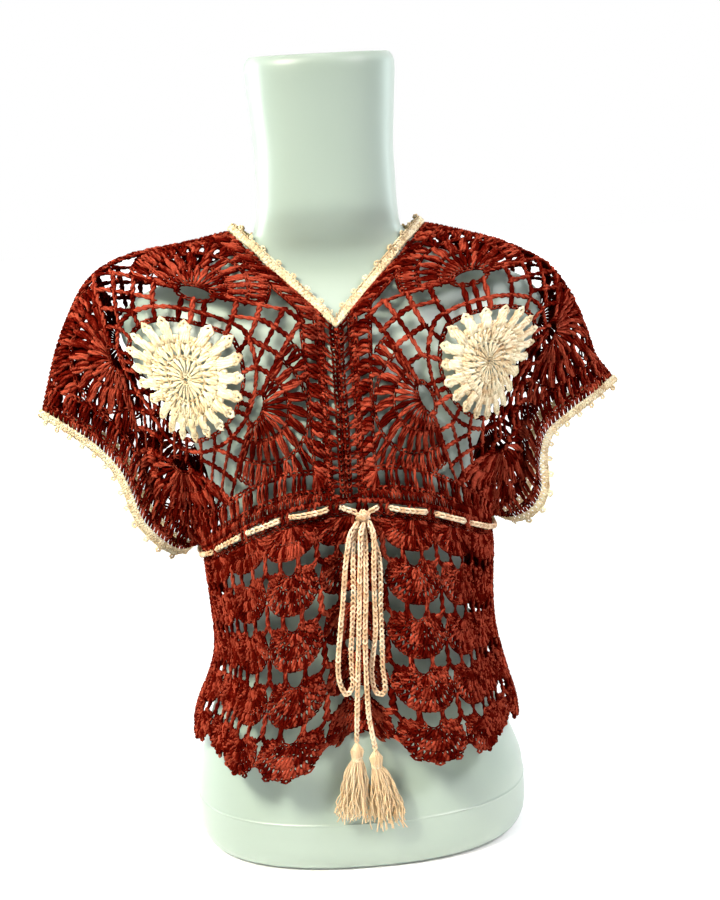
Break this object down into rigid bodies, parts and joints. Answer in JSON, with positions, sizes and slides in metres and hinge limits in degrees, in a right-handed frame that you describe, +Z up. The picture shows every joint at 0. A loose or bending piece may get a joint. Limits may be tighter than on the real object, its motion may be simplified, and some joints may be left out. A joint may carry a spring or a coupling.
{
  "type": "crochet top on a dress form",
  "caption": "Cap-sleeved V-neck crochet top of flower motifs and shell lace, with a woven drawstring and tassels, worn on a limbless torso form.",
  "frame": {"origin": "middle of the form's flat base, on the surface it stands on", "axes": "+Z up the form's axis, -Y out of the garment's front, +X to the viewer's right"},
  "size_m": [0.5532, 0.2697, 0.753],
  "materials": {
    "rust_cotton": "matt crocheted mercerised cotton, rust red",
    "cream_cotton": "matt crocheted cotton, warm cream",
    "peach_cotton": "matt crocheted chain cord and cut yarn, peachy cream",
    "form_plastic": "smooth satin moulded plastic, pale mint"
  },
  "bodies": {
    "root": {"yoke_front_left": "rust_cotton", "yoke_front_right": "rust_cotton", "yoke_back_left": "rust_cotton", "yoke_back_right": "rust_cotton", "lower_front": "rust_cotton", "lower_back": "rust_cotton", "centre_front_seam": "rust_cotton", "centre_back_seam": "rust_cotton", "flower_front_left": "cream_cotton", "flower_front_right": "cream_cotton", "flower_back_left": "cream_cotton", "flower_back_right": "cream_cotton", "neck_edging": "cream_cotton", "cuff_edging_left": "cream_cotton", "cuff_edging_right": "cream_cotton", "drawstring_waist": "peach_cotton", "drawstring_knot": "peach_cotton", "drawstring_loop_left": "peach_cotton", "drawstring_loop_right": "peach_cotton", "drawstring_end_left": "peach_cotton", "drawstring_end_right": "peach_cotton", "tassel_left": "peach_cotton", "tassel_right": "peach_cotton", "dress_form": "form_plastic"}
  },
  "joints": []
}
